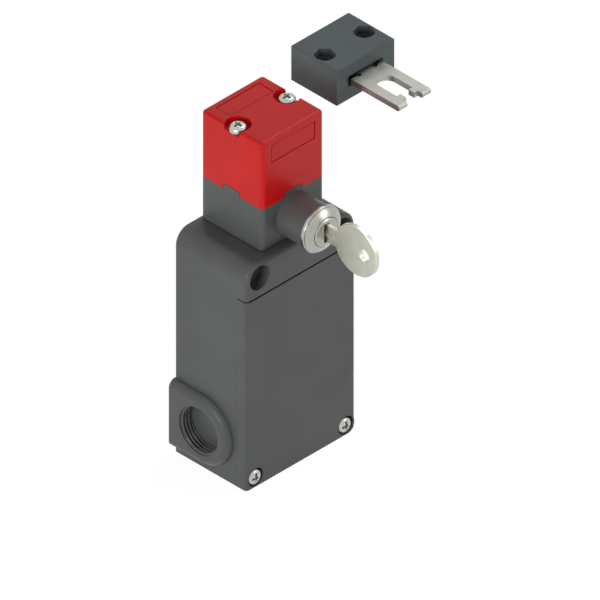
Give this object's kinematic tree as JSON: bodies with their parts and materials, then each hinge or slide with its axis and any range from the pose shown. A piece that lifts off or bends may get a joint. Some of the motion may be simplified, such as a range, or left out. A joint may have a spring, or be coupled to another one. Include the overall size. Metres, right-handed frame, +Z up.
{
  "type": "tongue interlock switch",
  "caption": "Upright safety switch with a red turret head, a key lock, a screwed front cover, conduit entries and a separate forked tongue actuator.",
  "frame": {"origin": "centre of the bottom conduit entry's mouth, in the plane of the body's underside", "axes": "+Z up along the body to the head, -Y out of the front cover and along the key, +X to the right seen from the front"},
  "size_m": [0.0957, 0.0794, 0.1472],
  "materials": {
    "body_grey": "satin moulded",
    "head_red": "satin moulded",
    "actuator_grey": "satin moulded",
    "bright_steel": "nickel plated",
    "chrome": "polished",
    "tongue_steel": "satin",
    "key_metal": "nickel plated",
    "brass": "bright",
    "copper_strip": "silver tipped",
    "rubber": "plain",
    "inner_plastic": "moulded",
    "slide_plastic": "moulded",
    "clear_plate": "moulded",
    "spring_steel": "bright"
  },
  "bodies": {
    "switch_body": {"housing": "body_grey", "earth_saddle": "brass", "earth_screw": "brass", "head_gasket": "rubber", "lower_head": "body_grey", "upper_head": "head_red", "head_screws": "bright_steel", "cam_axle": "bright_steel", "lock_barrel": "chrome", "lock_nut": "brass", "plunger_seal": "rubber", "return_spring": "spring_steel", "contact_block_base": "inner_plastic", "contact_block_cover": "clear_plate", "block_screws": "bright_steel", "fixed_contacts": "copper_strip", "terminal_clamps": "bright_steel", "terminal_screws": "bright_steel"},
    "front_cover": {"cover": "body_grey", "cover_gasket": "rubber", "cover_screws": "bright_steel"},
    "front_plug": {"front_slot_plug": "head_red"},
    "top_plug": {"top_slot_plug": "head_red"},
    "cam": {"cam_wheel": "bright_steel"},
    "plunger_set": {"plunger": "bright_steel", "contact_carrier": "slide_plastic", "moving_bridges": "copper_strip"},
    "lock_core": {"lock_plug": "chrome", "lock_cam": "bright_steel"},
    "bolt": {"lock_bolt": "bright_steel"},
    "key_body": {"key": "key_metal"},
    "actuator": {"actuator_block": "actuator_grey", "actuator_base": "actuator_grey", "cradle_pin": "bright_steel"},
    "cradle": {"tongue_cradle": "slide_plastic", "tongue_pin": "bright_steel"},
    "tongue_body": {"tongue": "tongue_steel"}
  },
  "joints": [
    {"name": "cover_off", "type": "slide", "parent": "switch_body", "child": "front_cover", "axis": [0, -1, 0], "range_m": [0, 0.03]},
    {"name": "front_plug_pull", "type": "slide", "parent": "switch_body", "child": "front_plug", "axis": [0, -1, 0], "range_m": [0, 0.02]},
    {"name": "top_plug_pull", "type": "slide", "parent": "switch_body", "child": "top_plug", "axis": [0, 0, 1], "range_m": [0, 0.02]},
    {"name": "cam_turn", "type": "hinge", "parent": "switch_body", "child": "cam", "pos_m": [0, -0.00165, 0.1304], "axis": [-1, 0, 0], "range_deg": [0, 40]},
    {"name": "plunger_rise", "type": "slide", "parent": "switch_body", "child": "plunger_set", "axis": [0, 0, 1], "range_m": [0, 0.004], "deforming": ["return_spring"]},
    {"name": "key_turn", "type": "hinge", "parent": "switch_body", "child": "lock_core", "pos_m": [0, 0, 0.108], "axis": [0, 1, 0], "range_deg": [0, 90]},
    {"name": "bolt_slide", "type": "slide", "parent": "switch_body", "child": "bolt", "axis": [-1, 0, 0], "range_m": [0, 0.0025]},
    {"name": "key_pull", "type": "slide", "parent": "lock_core", "child": "key_body", "axis": [0, -1, 0], "range_m": [0, 0.025]},
    {"name": "actuator_slide", "type": "slide", "parent": "switch_body", "child": "actuator", "axis": [0, -1, 0], "range_m": [0, 0.022]},
    {"name": "cradle_swivel", "type": "hinge", "parent": "actuator", "child": "cradle", "pos_m": [0.04965, 0.0076, 0.13965], "axis": [0, 0, 1], "range_deg": [-4, 4]},
    {"name": "tongue_tilt", "type": "hinge", "parent": "cradle", "child": "tongue_body", "pos_m": [0.04965, 0.0037, 0.13965], "axis": [1, 0, 0], "range_deg": [-4, 4]}
  ],
  "couplings": [
    {"joint": "cam_turn", "follows": "plunger_rise", "rad_per_m": 174.53},
    {"joint": "key_turn", "follows": "bolt_slide", "rad_per_m": 628.32}
  ]
}
